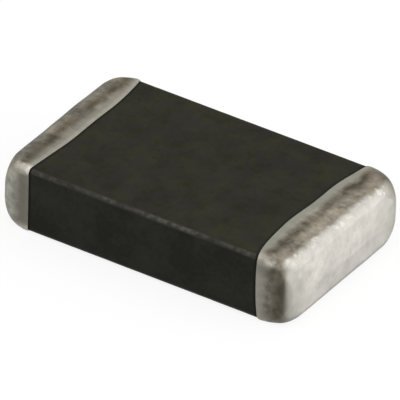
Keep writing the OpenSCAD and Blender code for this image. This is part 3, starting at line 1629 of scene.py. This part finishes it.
@dataclass
class PhotoCamera:
    """The camera at the photograph's angle, with its angles in degrees and its clip in metres."""

    form: ChipForm
    azimuth: float = 31.083
    elevation: float = 32.901
    roll: float = -2.650
    distance: float = 400.0
    pixels_per_mm: float = 41.906
    middle: tuple[float, float] = (200.324, 199.257)
    frame_pixels: float = 400.0
    sensor: float = 36.0
    clip: Span = (0.02, 4.0)

    def _turn(self) -> Matrix:
        """Works out the camera's turn from its three angles.

        Returns:
            The turn.
        """
        angles = (self.azimuth, self.elevation, self.roll)
        around, above, rolled = (math.radians(angle) for angle in angles)
        right = Vector((math.cos(around), math.sin(around), 0))
        level = math.cos(above)
        back = Vector((math.sin(around) * level, -math.cos(around) * level, math.sin(above)))
        straight = Matrix((right, back.cross(right), back)).transposed()
        return straight @ Matrix.Rotation(-rolled, 3, "Z")

    def place(self) -> bpy.types.Object:
        """Sets the camera up.

        Returns:
            The camera.
        """
        turn = self._turn()
        centre = self.frame_pixels / 2
        aside_x = (centre - self.middle[0]) / self.pixels_per_mm
        aside_y = (self.middle[1] - centre) / self.pixels_per_mm
        target = Vector((0, 0, self.form.thickness / 2))
        data = bpy.data.cameras.new("photo_camera")
        data.sensor_width = self.sensor
        data.lens = self.pixels_per_mm * self.sensor * self.distance / self.frame_pixels
        data.clip_start, data.clip_end = self.clip
        camera = linked("photo_camera", data)
        camera.rotation_mode = "QUATERNION"
        camera.rotation_quaternion = turn.to_quaternion()
        camera.location = (target + turn @ Vector((aside_x, aside_y, self.distance))) * MM
        bpy.context.scene.camera = camera
        return camera


@dataclass
class Studio:
    """The pale floor, the soft lamps and the white surroundings; its lengths are in metres."""

    lamps: tuple[SoftLamp, ...]
    ambient: float = 0.36
    floor_half: float = 0.5
    floor_drop: float = 0.00001
    table: PaleTable = field(default_factory=PaleTable)

    def _lay_floor(self) -> None:
        """Lays the floor just under the chip."""
        mesh = bmesh.new()
        bmesh.ops.create_grid(mesh, x_segments=4, y_segments=4, size=self.floor_half)
        bmesh.ops.translate(mesh, verts=mesh.verts, vec=(0, 0, -self.floor_drop))
        floor = from_mesh("floor", mesh)
        floor.data.materials.append(self.table.material())

    def _set_world(self) -> None:
        """Makes the surroundings: even soft light, and white where they are seen."""
        world = bpy.data.worlds.new("studio")
        shader = Shader(world)
        light, white = (
            shader.node("ShaderNodeBackground", None, {"Color": WHITE, "Strength": strength})
            for strength in (self.ambient, 1.0)
        )
        both = shader.chosen(shader.seen(), light, white)
        shader.node("ShaderNodeOutputWorld", None, {"Surface": both})
        bpy.context.scene.world = world

    def build(self) -> None:
        """Sets up everything that isn't the object."""
        self._lay_floor()
        self._set_world()
        for lamp in self.lamps:
            lamp.place()
        bpy.context.scene.view_settings.view_transform = "Standard"


def left_silver(form: ChipForm) -> FiredSilver:
    """Gives the left cap's finish: a narrow film, light walls, and long edges made bright by wear
    and a painted highlight.

    Args:
        form: The chip's sizes.

    Returns:
        The finish.
    """
    return FiredSilver(
        name="left_fired_silver",
        form=form,
        on_flats=FaceTones(
            band=(0.315, 0.293, 0.238),
            film=(0.230, 0.212, 0.164),
            streak=(0.086, 0.066, 0.034),
            start=-0.02,
            soft=0.04,
            thinning=0.52,
            end=0.86,
            centre=0.50,
            half_width=0.24,
            strength=1.05,
            rim=0.45,
        ),
        on_walls=FaceTones(
            band=(0.236, 0.225, 0.178),
            film=(0.540, 0.530, 0.450),
            streak=(0.150, 0.140, 0.110),
            start=0.02,
            soft=0.04,
            thinning=0.15,
            end=0.62,
            centre=0.66,
            half_width=0.20,
            strength=0.3,
            rim=0.05,
        ),
        blotches=Blotches(gap_at=0.15, gap_reach=0.6),
        burnish=Burnish(strength=1.5, evenly=0.85, width=0.27, glint=0.75),
        mottling=Mottling(wall_calm=0.48),
        grime=Grime(back_edge=0.35, shoulder=0.60),
        marks=BrightMarks(foot=0.32),
    )


def right_silver(form: ChipForm) -> FiredSilver:
    """Gives the right cap's finish: a wide brown film, with the light end face, partly painted
    light, reaching over it.

    Args:
        form: The chip's sizes.

    Returns:
        The finish.
    """
    return FiredSilver(
        name="right_fired_silver",
        form=form,
        on_flats=FaceTones(
            band=(0.330, 0.322, 0.260),
            film=(0.300, 0.264, 0.204),
            streak=(0.080, 0.063, 0.034),
            start=0.262,
            soft=0.10,
            thinning=0.84,
            end=0.97,
            centre=0.755,
            half_width=0.23,
            strength=1.05,
            rim=0.15,
        ),
        on_walls=FaceTones(
            band=(0.410, 0.397, 0.334),
            film=(0.136, 0.119, 0.086),
            streak=(0.066, 0.050, 0.030),
            start=0.155,
            soft=0.09,
            thinning=0.38,
            end=0.96,
            centre=0.31,
            half_width=0.18,
            strength=0.55,
            rim=0.10,
        ),
        blotches=Blotches(gap_at=0.35, gap_reach=1.3, near_corner=0.25),
        burnish=Burnish(strength=0.56, evenly=0.10, width=0.46),
        mottling=Mottling(wall_calm=0.15, upper_light=0.62),
        grime=Grime(back_edge=0.55, under_edge=0.35, corner_stain=0.22, far_stain=0.238),
        marks=BrightMarks(foot=0.04, near_corner=1.0),
        far_shift=0.07,
    )


def main() -> None:
    """Builds the pieces in order and reports each one."""
    logging.basicConfig(level=logging.INFO, format="%(name)s: %(message)s")
    form = ChipForm()
    left_waves = (
        Wave(height=0.008, pace=4.561, start=0.787),
        Wave(height=0.007, pace=8.72, start=1.071),
    )
    left_rim = RimLine(band=0.78, bow=0.13, skew=0.6, lean=-0.02, waves=left_waves)
    right_waves = (
        Wave(height=0.016, pace=5.046, start=0.723),
        Wave(height=0.012, pace=8.786, start=0.407),
    )
    right_rim = RimLine(
        band=0.95, bow=0.22, skew=-0.5, lean=0.035, waves=right_waves, side_bow=0.04
    )
    PhotoCamera(form).place()
    pieces = [
        CeramicBlock(form, left_rim, right_rim).build(),
        SilverCap(form, End.LEFT, left_rim, left_silver(form), swell=0.016).build(),
        SilverCap(form, End.RIGHT, right_rim, right_silver(form)).build(),
        *InnerPlates().dress(frame["nodes"]),
    ]
    for piece in pieces:
        LOG.info("%s: %d faces", piece.name, len(piece.data.polygons))
    Studio(
        lamps=(
            SoftLamp("key_lamp", (0.90, 0.18, 0.20), distance=0.20, size=0.30, level=0.98),
            SoftLamp("top_lamp", (0.0, 0.15, 1.0), distance=0.25, size=0.30, level=0.20),
            SoftLamp("front_lamp", (-0.43, -0.55, 0.72), distance=0.14, size=0.06, level=0.12),
        )
    ).build()


if __name__ == "__main__":
    main()
